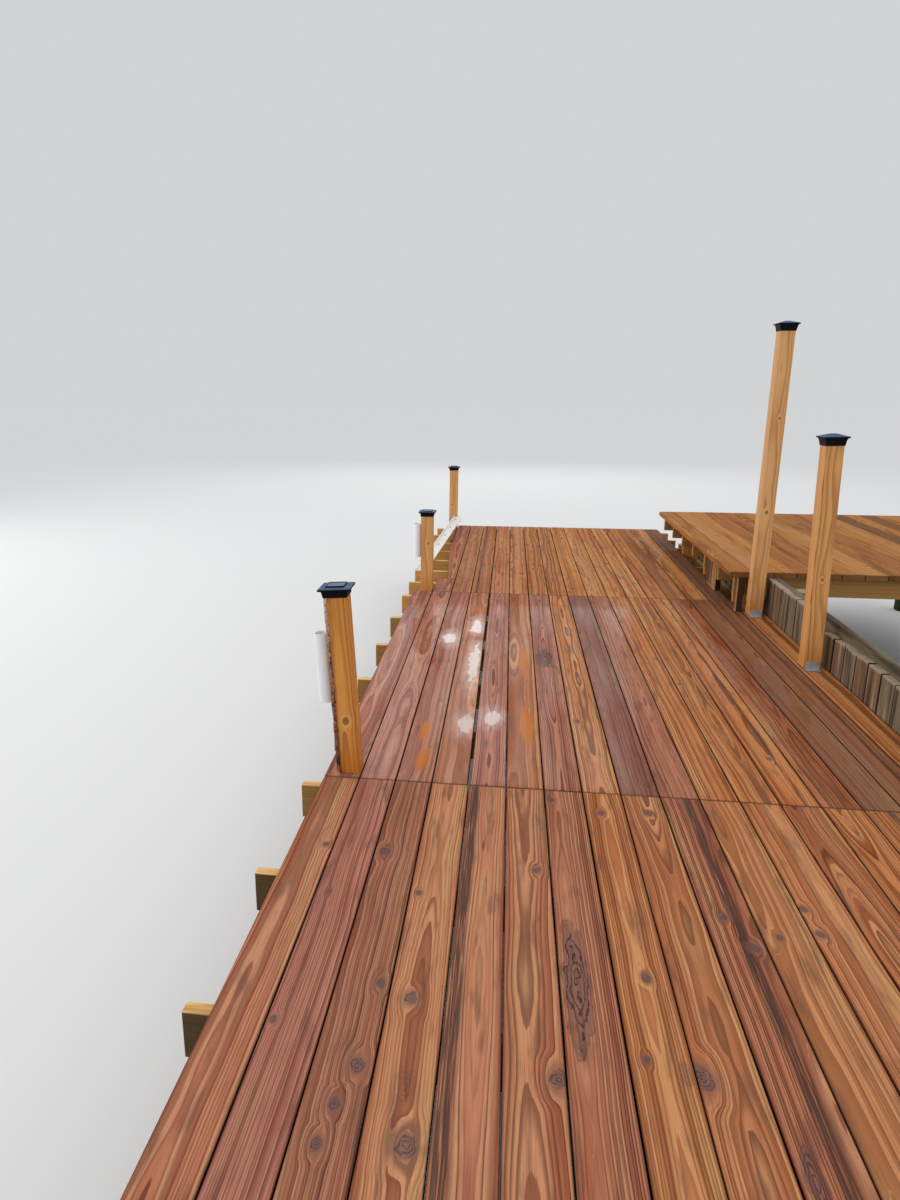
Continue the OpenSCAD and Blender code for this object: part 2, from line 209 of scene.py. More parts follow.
def feed(socket, value):
    """Links a wire to a socket, or writes a plain value on it."""
    if isinstance(value, Wire):
        socket.id_data.links.new(value.socket, socket)
    elif socket.type == "RGBA":
        socket.default_value = (*value, 1)
    else:
        socket.default_value = value


class Wire:
    """A value on its way through a shader. Arithmetic with wires adds the Math nodes that do it."""

    def __init__(self, socket):
        self.socket = socket
        self.tree = socket.id_data

    def math(self, kind, *others):
        node = self.tree.nodes.new("ShaderNodeMath")
        node.operation = kind
        for socket, value in zip(node.inputs, (self, *others)):
            feed(socket, value)
        return Wire(node.outputs[0])

    __add__ = __radd__ = partialmethod(math, "ADD")
    __mul__ = __rmul__ = partialmethod(math, "MULTIPLY")
    __sub__ = partialmethod(math, "SUBTRACT")
    __truediv__ = partialmethod(math, "DIVIDE")

    def __rsub__(self, other):
        return self * -1 + other

    def soft(self, low, high):
        """Rises smoothly from 0 at low to 1 at high."""
        node = self.tree.nodes.new("ShaderNodeMapRange")
        node.interpolation_type = "SMOOTHSTEP"
        for socket, value in zip(node.inputs, (self, low, high)):
            feed(socket, value)
        return Wire(node.outputs[0])


def split(socket):
    """The three numbers of a vector."""
    parts = socket.id_data.nodes.new("ShaderNodeSeparateXYZ")
    socket.id_data.links.new(socket, parts.inputs[0])
    return [Wire(part) for part in parts.outputs]


def attribute(tree, name):
    """The three numbers that a mesh keeps under a name."""
    node = tree.nodes.new("ShaderNodeAttribute")
    node.attribute_name = name
    return split(node.outputs["Vector"])


def position(tree):
    """A point's place in the frame, in metres."""
    return split(tree.nodes.new("ShaderNodeTexCoord").outputs["Object"])


def noise(x, y, z, detail=2):
    """Smooth noise from 0 to 1 at a place given by three wires or numbers."""
    tree = next(v.tree for v in (x, y, z) if isinstance(v, Wire))
    place = tree.nodes.new("ShaderNodeCombineXYZ")
    for socket, value in zip(place.inputs, (x, y, z)):
        feed(socket, value)
    node = tree.nodes.new("ShaderNodeTexNoise")
    node.inputs["Scale"].default_value = 1
    node.inputs["Detail"].default_value = detail
    tree.links.new(place.outputs[0], node.inputs["Vector"])
    return Wire(node.outputs["Fac"])


def blend(share, first, second):
    """Two colours mixed by a share."""
    node = share.tree.nodes.new("ShaderNodeMix")
    node.data_type = "RGBA"
    for socket, value in zip((node.inputs[0], node.inputs[6], node.inputs[7]), (share, first, second)):
        feed(socket, value)
    return Wire(node.outputs[2])


def layered(colour, *coats):
    """A colour with coats over it in turn, each of which is a share and a colour."""
    for share, coat in coats:
        colour = blend(share, colour, coat)
    return colour


def group(name, inputs, outputs, work):
    """A node group: work gets the named inputs as wires and returns the outputs in order."""
    tree = bpy.data.node_groups.new(name, "ShaderNodeTree")
    for key, value in inputs.items():
        tree.interface.new_socket(key, in_out="INPUT", socket_type="NodeSocketFloat").default_value = value
    for key in outputs:
        tree.interface.new_socket(key, in_out="OUTPUT", socket_type="NodeSocketFloat")
    given = tree.nodes.new("NodeGroupInput")
    result = tree.nodes.new("NodeGroupOutput")
    values = work(tree, *[Wire(given.outputs[key]) for key in inputs])
    for key, value in zip(outputs, values):
        feed(result.inputs[key], value)
    return tree


def use(tree, effect, **values):
    """Places a node group in a material and returns its outputs by name."""
    node = tree.nodes.new("ShaderNodeGroup")
    node.node_tree = effect
    for key, value in values.items():
        feed(node.inputs[key], value)
    return {s.name: Wire(s) for s in node.outputs}


def chance(value):
    """A number from 0 to 1 that jumps to another one at each whole step of a wire."""
    node = value.tree.nodes.new("ShaderNodeTexWhiteNoise")
    node.noise_dimensions = "1D"
    feed(node.inputs["W"], value.math("FLOOR"))
    return Wire(node.outputs["Value"])


def distance(x, y):
    """The length of the line from 0 to (x, y)."""
    return (x * x + y * y).math("SQRT")


def pine(tree, wander, ripple, flow):
    """Rings round the heart of the log. A point's distance from the heart line, which wanders along
    the stick, is counted in rings after a fine ripple is added. Near a knot the point is first moved
    towards the knot's middle, so that the grain parts round it. Each ring darkens slowly, ends
    sharply, and has a strength and a tone of its own."""
    across, below, along = attribute(tree, "wood")
    heart_x, heart_z, ring = attribute(tree, "heart")
    knot_x, knot_y, knot_r = attribute(tree, "knot")
    streak_x, streak_half, streak_weight = attribute(tree, "streak")
    bell = ((knot_x * knot_x * 0.42 + knot_y * knot_y * 0.16) * -1).math("EXPONENT")
    dx = across - knot_r * knot_x * flow * bell - heart_x - (noise(along * 0.7, 3.1, 0.5) - 0.5) * wander
    dz = below - heart_z - (noise(along * 0.9, 9.7, 4.5) - 0.5) * wander * 1.6
    rough = (noise(across * 60, below * 60, along * 3.5) - 0.5) * ripple
    count = (distance(dx, dz) + knot_r * bell * 0.35 + rough) / ring
    count = count + noise(count * 0.6, 1.5, 2.5) * 1.4
    phase = count.math("FRACT")
    bold = chance(count + heart_x * 9000) * 0.7 + 0.3
    late = phase.soft(0.25, 0.9) * (1 - phase.soft(0.95, 1)) * bold
    tone = chance(count + heart_z * 9000 + 70)
    fibre = noise(across * 420, below * 420, along * 9)
    band = noise(across * 70, below * 70, along * 1.6)
    around = distance(knot_x, knot_y) + (noise(across * 50, 7.7, along * 40, 3) - 0.5) * 1.1
    weight = knot_r.soft(0, 0.006)
    knot = weight * (1 - around.soft(0.7, 1.05))
    halo = weight * (1 - around.soft(0.95, 2)) * around.soft(0.7, 1)
    eye = (around * 3.2 + knot_x * 0.6).math("FRACT").soft(0.45, 0.9) * knot
    sway = (noise(along * 2.6, 5.5, 8.5) - 0.5) * 0.022
    off = (across - streak_x - sway).math("ABSOLUTE") / streak_half
    torn = noise(across * 260, 4.4, along * 7, 4).soft(0.3, 0.55)
    streak = streak_weight * (1 - off.soft(0.5, 1.2)) * torn
    height = late * 0.6 + fibre * 0.4 - knot * 0.3
    return late, tone, fibre, band, knot, halo, eye, streak, height


pine_figure = group(
    "pine figure", {"Wander": 0.03, "Ripple": 0.004, "Flow": 1.3},
    ["Late wood", "Ring tone", "Fibre", "Band", "Knot", "Halo", "Eye", "Streak", "Height"], pine)


def shade(name, finish, bump_depth=0.0004, **plain):
    """A material round one Principled shader. finish builds its colour, roughness, coat weight and
    bump height; what is the same all over is written on the shader's own sockets."""
    material = bpy.data.materials.new(name)
    material.use_nodes = True
    tree = material.node_tree
    shader = tree.nodes["Principled BSDF"]
    for key, value in plain.items():
        feed(shader.inputs[key.replace("_", " ")], value)
    colour, roughness, coat, height = finish(tree)
    feed(shader.inputs["Base Color"], colour)
    feed(shader.inputs["Roughness"], roughness)
    if coat is not None:
        feed(shader.inputs["Coat Weight"], coat)
    if height is not None:
        bump = tree.nodes.new("ShaderNodeBump")
        bump.inputs["Strength"].default_value = 1
        bump.inputs["Distance"].default_value = bump_depth
        feed(bump.inputs["Height"], height)
        tree.links.new(bump.outputs[0], shader.inputs["Normal"])
    return material


def honey_wood(tree):
    """Yellow-brown pine: straw early wood and bold orange-brown late wood, paler where it is dry,
    darker at the wet foot and under the deck."""
    wood = use(tree, pine_figure, Wander=0.035, Ripple=0.003)
    _, dry, contrast = attribute(tree, "tone")
    z = position(tree)[2]
    band = wood["Band"]
    wet_foot = 1 - (z + (band - 0.5) * 0.12).soft(0.66, 0.82)
    soaked = 1 - (z + (band - 0.5) * 0.1).soft(0.02, 0.28)
    colour = layered(
        blend(dry, (0.74, 0.33, 0.07), (0.74, 0.44, 0.2)),
        (wood["Ring tone"] * 0.45, blend(dry, (0.56, 0.2, 0.03), (0.62, 0.33, 0.125))),
        (wood["Late wood"] * contrast, blend(dry, (0.3, 0.078, 0.008), (0.42, 0.18, 0.06))),
        (band.soft(0.4, 0.75) * 0.4, blend(dry, (0.48, 0.17, 0.025), (0.58, 0.31, 0.12))),
        (wood["Fibre"].soft(0.5, 0.8) * 0.3, (0.28, 0.1, 0.02)),
        (wood["Halo"] * 0.6, (0.78, 0.44, 0.15)),
        (wood["Knot"] * 0.75, (0.33, 0.13, 0.035)),
        (wood["Eye"] * 0.8, (0.09, 0.035, 0.012)),
        (wet_foot * (1 - dry * 0.5) * 0.7, (0.52, 0.165, 0.016)),
        (soaked, (0.045, 0.04, 0.015)))
    return colour, 0.55 - wet_foot * 0.2, wet_foot * 0.15, wood["Height"]


honey = shade("honey pine", honey_wood, bump_depth=0.0005, Specular_IOR_Level=0.2, Coat_Roughness=0.06)


def lean(turn, bend, wane=0):
    """Bends a post outwards at a height: above it every point turns round the land-side edge of the
    post, and a ring at the bend lies on the mitre between both parts. wane is how far the near
    corner on the water side is cut back along both faces."""

    def shape(across, below, run):
        x = across - POST / 2
        up = run - bend
        over = up > 0
        moved_x = np.where(over, x * np.cos(turn) - up * np.sin(turn), x)
        moved_z = np.where(over, x * np.sin(turn) + up * np.cos(turn), up)
        moved_z = np.where(up == 0, x * np.tan(turn / 2), moved_z)
        short = np.clip(wane - (across + POST / 2) + below, 0, None) / 2
        return moved_x + short + POST / 2, below - short, moved_z + bend
    return shape


POST_LOOKS = (
    dict(heart=(20, -60, 6.5), knots=((-10, 980, 13), (18, 300, 12)), tone=(0, 0.2, 0.8)),
    dict(heart=(-6, -46, 8.5), knots=((4, 874, 15), (-40, 1240, 7)), tone=(0, 0.05, 0.95)),
    dict(heart=(-25, -130, 6.5), knots=((12, 1010, 10),), tone=(0, 0.55, 0.55)),
    dict(heart=(10, -70, 6), knots=((-12, 900, 11),), tone=(0, 0.65, 0.55)),
)
for i, look in enumerate(POST_LOOKS):
    bent = lean(POST_LEAN[i], DECK, WANE if i == 1 else 0)
    post = timber((POST_X, POST_Y[i], 0), UPRIGHT, POST, POST, DECK + POST_RISE[i] - CAP_ROOM,
                  seed=11 + i, edge=3.5, step=65, shape=bent, **look)
    join(f"post_by_water_{i + 1}", [post], [f"water_post_{i + 1}"], honey)

# Bark edge
# The corner of the leaning post was the outside of the log: a ragged strip of bark still sits on
# it from the deck up to the cap, pale inner bark above and dark plates below.


def slope(turn):
    """The directions up along a post that leans outwards, and across it to the land side."""
    return np.array([-np.sin(turn), 0, np.cos(turn)]), np.array([np.cos(turn), 0, np.sin(turn)])


def ragged(seed, depth):
    """Moves the edges of a strip in and out along its length by sums of sines of random phase."""
    rng = np.random.default_rng(seed)
    waves = rng.uniform(60, 900, 7)
    phases = rng.uniform(0, 2 * np.pi, (3, 7))

    def curve(run, k):
        return sum(np.sin(run / 1000 * w + p) for w, p in zip(waves, phases[k])) / 4

    def shape(across, below, run):
        swell = 1 + 0.4 * np.where(across > 0, curve(run, 0), curve(run, 1))
        return across * swell, below * (1 + 0.45 * curve(run, 2)) + depth * curve(run + 40, 1), run
    return shape


def bark_layer(tree):
    """Flaky bark: dark red-brown plates, with the pale inner bark showing more and more higher up."""
    across, below, along = attribute(tree, "wood")
    plates = noise(across * 90, below * 90, along * 22, 4)
    flakes = noise(across * 240, below * 240, along * 80)
    bare = (flakes + position(tree)[2] * 0.45).soft(0.97, 1.1)
    colour = layered(
        blend(plates.soft(0.4, 0.56), (0.034, 0.012, 0.009), (0.25, 0.095, 0.055)),
        (bare * 0.85, (0.6, 0.42, 0.31)),
        (plates.soft(0.6, 0.72) * 0.6, (0.24, 0.07, 0.03)))
    return colour, 0.9 - flakes * 0.1, None, plates + flakes * 0.4


bark = shade("bark", bark_layer, bump_depth=0.003, Specular_IOR_Level=0.2)
# Each plate's place above the deck, its length and its width
BARK_PLATES = ((1, 178, 21), (171, 122, 17), (286, 214, 16), (490, 92, 13), (575, 140, 12))
up = slope(POST_LEAN[1])[0]
out = np.array([-1, -1, 0]) / np.sqrt(2)
out = out - out.dot(up) * up
out = out / np.linalg.norm(out)
foot = np.array([POST_X - POST / 2 + 3, POST_Y[1] + 3, DECK])
layers = [timber(foot, (up, out), 17, 6, POST_RISE[1] - 24, seed=3, edge=1.5, step=12, shape=ragged(5, 0.9))]
for k, (height, long, wide) in enumerate(BARK_PLATES):
    start = foot + up * height + out * (3 - height * 0.003)
    layers.append(timber(start, (up, out), wide, 7, long, seed=30 + k, edge=1.8, step=9,
                         shape=ragged(8 + k, 1.2)))
join("bark_strip", layers, [], bark)

# Beams and ledger
# Two planks on edge run the length of the jetty and grip the posts from both sides; a third is
# fixed to the bank wall. They are green-treated pine, butted over the posts and bolted through.
THICK, SIX, EIGHT = 38, 140, 184
JOIST_TOP = DECK - THICK
BEAM_TOP = JOIST_TOP - SIX
OUTER_X, INNER_X, LEDGER_X = 28, 155, 2431
WALL_END = 8550.3


def framing_wood(tree):
    """Treated pine: yellow-tan on the top, olive brown on the sides, which painted shade makes darker still.
    """
    wood = use(tree, pine_figure, Wander=0.04, Ripple=0.003)
    below = attribute(tree, "wood")[1]
    bright = attribute(tree, "tone")[1]
    late = wood["Late wood"] * 0.7
    # The sides: olive brown of the green treatment, darkened further by painted shade below the lighter top.
    sides = blend(late, blend(bright, (0.12, 0.07, 0.026), (0.72, 0.37, 0.1)),
                  blend(bright, (0.055, 0.028, 0.01), (0.36, 0.145, 0.03)))
    colour = layered(
        blend(late, (0.78, 0.46, 0.17), (0.46, 0.205, 0.05)),
        ((below * -1 + wood["Band"] * 0.003).soft(0.001, 0.007), sides),
        (wood["Band"].soft(0.45, 0.75) * 0.4, blend(bright, (0.075, 0.055, 0.02), (0.3, 0.14, 0.04))),
        (wood["Knot"] * 0.8, (0.1, 0.05, 0.025)),
        (wood["Fibre"].soft(0.5, 0.8) * 0.25, (0.08, 0.05, 0.02)))
    return colour, 0.62, wood["Band"] * 0.1, wood["Height"]


framing = shade("treated framing", framing_wood, bump_depth=0.0005, Specular_IOR_Level=0.2,
                Coat_Roughness=0.06)


def butted(x, top, width, ends, seed, **look):
    """Planks on edge one after another along the jetty, each a millimetre short of its place."""
    return [timber((x, a + 0.5, top), ALONG, THICK, width, b - a - 1, seed=seed + k, **look)
            for k, (a, b) in enumerate(zip(ends, ends[1:]))]


beam_ends = (0, POST_Y[1] + 44, POST_Y[2] + 44, JETTY)
for side, x in (("outer", OUTER_X), ("inner", INNER_X)):
    planks = butted(x, BEAM_TOP, EIGHT, beam_ends, 50 + x, knots=((0, 900, 9),))
    join(f"{side}_beam", planks, [f"water_beam_{side}"], framing)
planks = butted(LEDGER_X, JOIST_TOP, EIGHT, (0, BAY, 2 * BAY, WALL_END), 80)
join("ledger", planks, ["wall_ledger"], framing)


def turned(path, base, axis, around=24, square=0):
    """Rings stacked along an axis: path lists (half width, height) in millimetres. Each ring is a
    circle, or a square whose corners are rounded by the radius square. base is where height is 0."""
    path = np.array(path, float)
    if square:
        ring = [outline(2 * w, 2 * w, min(square, w * 0.45), 0) + (0, w) for w in path[:, 0]]
        ring = np.array(ring)
    else:
        angle = np.linspace(0, 2 * np.pi, around, endpoint=False)
        ring = path[:, 0, None, None] * np.stack([np.cos(angle), np.sin(angle)], -1)
    axis = np.array(axis, float)
    face = np.array((0, 1, 0) if abs(axis[1]) < 0.5 else (0, 0, 1), float)
    side = np.cross(axis, face)
    points = np.array(base) + ring[..., :1] * side + ring[..., 1:] * face + path[:, 1, None, None] * axis
    return points, {}


def zinc_coat(tree):
    """Hot-dip zinc: a mottle of pale and darker crystals with patches of white bloom."""
    place = tree.nodes.new("ShaderNodeTexCoord").outputs["Object"]
    crystals = tree.nodes.new("ShaderNodeTexVoronoi")
    crystals.inputs["Scale"].default_value = 130
    tree.links.new(place, crystals.inputs["Vector"])
    x, y, z = split(place)
    bloom = noise(x * 45, y * 45, z * 45, 3)
    colour = layered(
        blend(0.35 * Wire(crystals.outputs["Color"]), (0.52, 0.54, 0.56), (0.72, 0.74, 0.76)),
        (bloom.soft(0.55, 0.75) * 0.7, (0.8, 0.8, 0.78)))
    return colour, 0.35 + bloom * 0.35, None, bloom


zinc = shade("zinc", zinc_coat, bump_depth=0.0002, Metallic=0.85)
BOLT_Z = (340, 425)
WASHER = ((15, -0.5), (15, 2), (14.6, 2.4))
DOME = ((10, 2), (9.6, 4.5), (7, 7), (3, 8.2))
NUT = ((8.5, 2), (8.5, 9), (7.6, 10))
bolts = []
for y in POST_Y:
    for x, out, head, corners in ((OUTER_X - THICK / 2, -1, DOME, 20), (INNER_X + THICK / 2, 1, NUT, 6)):
        for z in BOLT_Z:
            spot = (x, y + 44 + (z - 382) * 0.4, z)
            bolts.append(turned(WASHER, spot, (out, 0, 0), 20))
            bolts.append(turned(head, spot, (out, 0, 0), corners))
join("beam_bolts", bolts, [], zinc)

# Joists
# Planks on edge across the beams, hung on the ledger at the wall. On the water side their sawn ends
# stand out past the deck.
PARTS = ("near", "middle", "far")
FAR = PARTS.index("far")
OVERHANG = 90
JOIST_LENGTH = 2502


def joist_places(bay):
    """The near face of each joist in a bay: five even spaces a bay, seven in the far one, with the
    first and last joist flush with the ends of the deck."""
    spaces = 7 if bay == FAR else 5
    count = spaces + 1 if bay == FAR else spaces
    return np.clip(bay * BAY + np.arange(count) * BAY / spaces - THICK / 2, 0, JETTY - THICK)


rng = np.random.default_rng(4)
for bay, part in enumerate(PARTS):
    joists = []
    for k, y in enumerate(joist_places(bay)):
        heart = (rng.uniform(-30, 30), rng.uniform(-160, -40), 5)
        knot = (rng.uniform(-12, 12), rng.uniform(20, 900), 6)
        joists.append(timber((-OVERHANG, y + THICK / 2, JOIST_TOP), ACROSS, THICK, SIX, JOIST_LENGTH,
                             seed=100 + 10 * bay + k, edge=2.5, heart=heart, knots=(knot,),
                             tone=(0, 0.45 * bay, 1)))
    join(f"joists_{part}_bay", joists, [f"deck_joists_{part}"], framing)

# Lower deck boards
# Seventeen rows of wet, red-brown stained pine in three bays, butted at straight seams over the
# joists. Every board has its own figure: where its heart lay, how bold its rings are, its knots
# and its dark heart stripe, and rain water still stands on the lowest ones.
ROWS = 17
GAP = 4
PITCH = SIX + GAP
CUT_FROM, CUT_TO = 225, 65


def wet_wood(tree):
    """Stained pine in the rain: rose-brown to orange early wood with dark red late wood, a thin water
    film, standing water that smooths the surface, orange and dark stains, and painted shade that
    darkens the board edges and sides into black gaps."""
    wood = use(tree, pine_figure, Wander=0.05, Ripple=0.004)
    across, below, along = attribute(tree, "wood")
    light, hue, contrast = attribute(tree, "tone")
    side_far, end_far, shut = attribute(tree, "rim")
    pool_x, pool_y, pool_on = attribute(tree, "pool")
    stain_x, stain_y, stain_on = attribute(tree, "stain")
    tone = wood["Ring tone"]
    tint = noise(across * 11, below * 11, along * 1.1, 3)
    soil = noise(across * 26, below * 9, along * 5, 4)
    edge = (noise(across * 34, 2.2, along * 13, 3) - 0.5) * 1.5
    away = distance(pool_x, pool_y) + edge
    pool = pool_on * (1 - away.soft(0.7, 0.9))
    fringe = pool_on * (1 - away.soft(0.6, 2.2))
    spread = distance(stain_x, stain_y) + edge * 0.7
    spot = 1 - spread.soft(0.65, 1.1)
    dark = (stain_on * -1).math("MAXIMUM", 0) * spot
    # Painted shade: the top face darkens towards each side, where the board rolls down into the gap.
    gap_edge_shade = 1 - (side_far + wood["Band"] * 0.003 - 0.0015).soft(0, 0.005)
    # The sides below the top face, away from the ends: where a neighbour shuts them in, painted shade makes
    # them almost black.
    inside = (below * -1).soft(0.002, 0.01) * end_far.soft(0, 0.004)
    colour = layered(
        blend(hue, (0.43, 0.165, 0.118), (0.555, 0.212, 0.068)),
        (tint.soft(0.52, 0.66) * 0.6, blend(hue, (0.3, 0.088, 0.06), (0.36, 0.092, 0.02))),
        ((1 - tint).soft(0.54, 0.68) * 0.6, blend(hue, (0.46, 0.27, 0.15), (0.56, 0.33, 0.11))),
        (tone.soft(0.55, 0.95) * 0.45, blend(hue, (0.54, 0.29, 0.19), (0.64, 0.335, 0.125))),
        ((1 - tone).soft(0.5, 0.95) * 0.75, blend(hue, (0.215, 0.066, 0.048), (0.27, 0.072, 0.016))),
        (wood["Late wood"] * contrast, blend(hue, (0.07, 0.019, 0.017), (0.085, 0.019, 0.005))),
        (wood["Fibre"].soft(0.4, 0.8) * 0.4, (0.09, 0.03, 0.018)),
        (wood["Band"].soft(0.5, 0.78) * 0.4, blend(hue, (0.17, 0.06, 0.052), (0.22, 0.068, 0.018))),
        ((light * -1).soft(0, 1) * 0.8, (0.115, 0.054, 0.04)),
        (light.soft(0, 1) * 0.5, (0.62, 0.34, 0.14)),
        (wood["Streak"] * 0.9, (0.056, 0.034, 0.028)),
        (wood["Halo"] * 0.5, (0.2, 0.096, 0.07)),
        (wood["Knot"] * 0.8, (0.145, 0.084, 0.074)),
        (wood["Eye"] * 0.7, (0.045, 0.026, 0.026)),
        (soil.soft(0.53, 0.7) * 0.5, (0.12, 0.058, 0.042)),
        (stain_on.math("MAXIMUM", 0) * spot * 0.9, (0.44, 0.12, 0.006)),
        (dark * 0.7, (0.12, 0.062, 0.058)),
        (dark * (spread * 4.3).math("FRACT").soft(0.5, 0.9) * 0.8, (0.035, 0.016, 0.017)),
        (pool * 0.3, (0.12, 0.07, 0.05)),
        # Painted shade along the board sides, and near-black painted shade in the shut-in gaps
        (gap_edge_shade * 0.65, (0.045, 0.018, 0.012)),
        ((1 - end_far.soft(0, 0.01)) * 0.5, (0.1, 0.042, 0.024)),
        (inside * shut, (0.008, 0.005, 0.004)))
    film = noise(across * 14, 6.6, along * 0.9, 3).soft(0.35, 0.75)
    rough = (0.5 - film * 0.1) * (1 - pool) + 0.05 * pool
    coat = (0.04 + film * 0.16 + fringe * 0.38 + pool * 0.58).math("MINIMUM", 1)
    return colour, rough, coat, wood["Height"] * (1 - pool)


wet = shade("wet red-brown boards", wet_wood, bump_depth=0.0005, Specular_IOR_Level=0,
            Coat_Roughness=0.05, Coat_IOR=1.65)


def board_line(seed, rise=0, left=None, right=None, width=SIX, crooked=1):
    """How a real board departs from its straight line: it is a little cupped, bowed and crooked. left
    and right give where its edges lie at each place along it, from 0 to its full width."""
    rng = np.random.default_rng(seed)
    cup, bow, crook, slant = rng.uniform((-0.5, -0.5, -1, -0.3), (0.6, 0.5, 1, 0.3))
    crook *= crooked

    def shape(across, below, run):
        arch = np.sin(np.pi * run / run.max())
        a = left(run) if left else 0
        b = right(run) if right else width
        x = a + (across / width + 0.5) * (b - a) - width / 2
        lift = rise - abs(cup) / 2 + cup * (1 - (across / width * 2) ** 2) + bow * arch
        return x + crook * arch, below + lift + slant * across / width, run
    return shape


def notch(run):
    """The right edge of an outer board, cut back to a tongue beside the post."""
    return np.where((run > 35) & (run < 130), 44, SIX)


def cut_edge(start, inside=0):
    """The left edge of a board that is cut off at a slant, for a board that starts at that place and
    lies so far inside the deck's water side."""
    first = joist_places(FAR)[1]

    def edge(run):
        share = (start + run - first) / (JETTY - first)
        return np.clip(CUT_FROM + (CUT_TO - CUT_FROM) * share - inside, 0, None)
    return edge


def drawn_look(bay, row, rng):
    """The look of a board that isn't in BOARD_LOOKS: its values are drawn at random, more orange to
    the land side and the far end, and darker with dirt in the last rows."""
    dirt = 0.45 * (row > 12) * (bay > 0)
    light = rng.uniform(-0.4, 0.3) - dirt
    hue = min(1, (0.3, 0.42, 0.7)[bay] + row / 26 + rng.uniform(-0.25, 0.25))
    contrast = rng.uniform(0.6, 0.95) - 0.25 * (bay == FAR)
    heart = (rng.uniform(-90, 90), rng.uniform(-80, -20), rng.uniform(5, 8))
    knots = tuple((rng.uniform(-50, 50), rng.uniform(150, 2850), rng.uniform(9, 18))
                  for k in range(rng.integers(0, 3)))
    streak = (rng.uniform(-50, 50), rng.uniform(8, 22), rng.choice((0, 0, 0.5, 0.9)))
    return dict(tone=(light, hue, contrast), heart=heart, knots=knots, streak=streak)


BOARD_LOOKS = {
    (0, 0): dict(tone=(0.05, 0.4, 0.6), heart=(-25, -45, 7.5), knots=((45, 2560, 14),)),
    (0, 1): dict(tone=(-0.05, 0.05, 0.75), heart=(95, -40, 6), knots=((-31, 2299, 9), (-53, 1776, 11))),
    (0, 2): dict(tone=(-0.35, 0.35, 0.85), heart=(-80, -50, 5.5),
                 knots=((-35, 2544, 20), (43, 1935, 15), (34, 1668, 21), (3, 1562, 16), (-15, 1461, 15))),
    (0, 3): dict(tone=(0.15, 0.55, 0.75), heart=(5, -35, 7),
                 knots=((-15, 1890, 21), (24, 1481, 28), (-44, 2332, 11)),
                 stains=((0, 1623, 30, 60, -0.25),)),
    (0, 4): dict(tone=(0.1, 0.42, 0.85), heart=(12, -30, 8), streak=(-48, 22, 0.95),
                 stains=((-1, 2618, 6, 40, -0.9),)),
    (0, 5): dict(tone=(0.1, 0.48, 0.75), heart=(-12, -50, 8), knots=((31, 2502, 15), (55, 1689, 24))),
    (0, 6): dict(tone=(-0.15, 0.42, 1), heart=(-28, -26, 6), knots=((-47, 2970, 12),),
                 stains=((-28, 2010, 38, 255, -1),)),
    (0, 7): dict(tone=(0.2, 0.8, 0.9), heart=(0, -32, 6.5),
                 knots=((10, 2043, 14), (-32, 1771, 10), (-17, 2895, 16)),
                 stains=((50, 1743, 14, 45, -0.5),)),
    (0, 8): dict(tone=(0.15, 0.7, 0.85), heart=(16, -50, 6), knots=((-60, 1735, 30), (11, 2911, 15))),
    (0, 9): dict(tone=(-0.15, 0.45, 0.9), heart=(60, -60, 6), streak=(18, 20, 0.95),
                 knots=((36, 2207, 16), (-14, 2333, 12)), stains=((-40, 1515, 24, 90, -0.8),)),
    (0, 10): dict(tone=(0.35, 0.7, 0.85), heart=(-50, -58, 5.5), knots=((-24, 2262, 11),)),
    (0, 11): dict(tone=(0, 0.75, 0.7), heart=(30, -50, 6.5), knots=((-56, 2404, 14), (-48, 2290, 15)),
                  streak=(6, 12, 0.4)),
    (0, 12): dict(tone=(-0.05, 0.8, 0.8)),
    (0, 13): dict(tone=(0.05, 0.9, 0.8)),
    (1, 0): dict(tone=(0.1, 0.1, 0.5), heart=(-30, -60, 7.5)),
    (1, 1): dict(tone=(0, 0.05, 0.6), heart=(10, -70, 7)),
    (1, 2): dict(tone=(0.1, 0.2, 0.55), heart=(-60, -60, 6.5),
                 pools=((3, 1888, 40, 120, 1),), stains=((-7, 479, 22, 130, 1), (13, 201, 30, 120, 1))),
    (1, 3): dict(tone=(0.25, 0.35, 0.4), heart=(50, -60, 6.5),
                 pools=((18, 2136, 40, 170, 1), (29, 1459, 34, 330, 1), (32, 605, 42, 130, 1)),
                 stains=((19, 2575, 34, 120, 0.8),)),
    (1, 4): dict(tone=(-0.05, 0.12, 0.8), heart=(-5, -28, 7), pools=((-3, 668, 44, 90, 1),)),
    (1, 5): dict(tone=(0.05, 0.66, 0.6), heart=(-40, -60, 6.5),
                 stains=((10, 1527, 26, 260, 1), (14, 615, 34, 240, 1))),
    (1, 6): dict(tone=(-0.25, 0.25, 0.9), heart=(-4, -28, 6.5), stains=((-8, 1571, 55, 170, -1),)),
    (1, 7): dict(tone=(0.15, 0.8, 0.9), heart=(8, -40, 7), knots=((-40, 683, 12),)),
    (1, 8): dict(tone=(-0.6, 0.2, 0.8), heart=(-60, -50, 6), knots=((-51, 123, 14), (41, 118, 16))),
    (1, 9): dict(tone=(-0.3, 0.3, 0.8), heart=(20, -40, 6)),
}
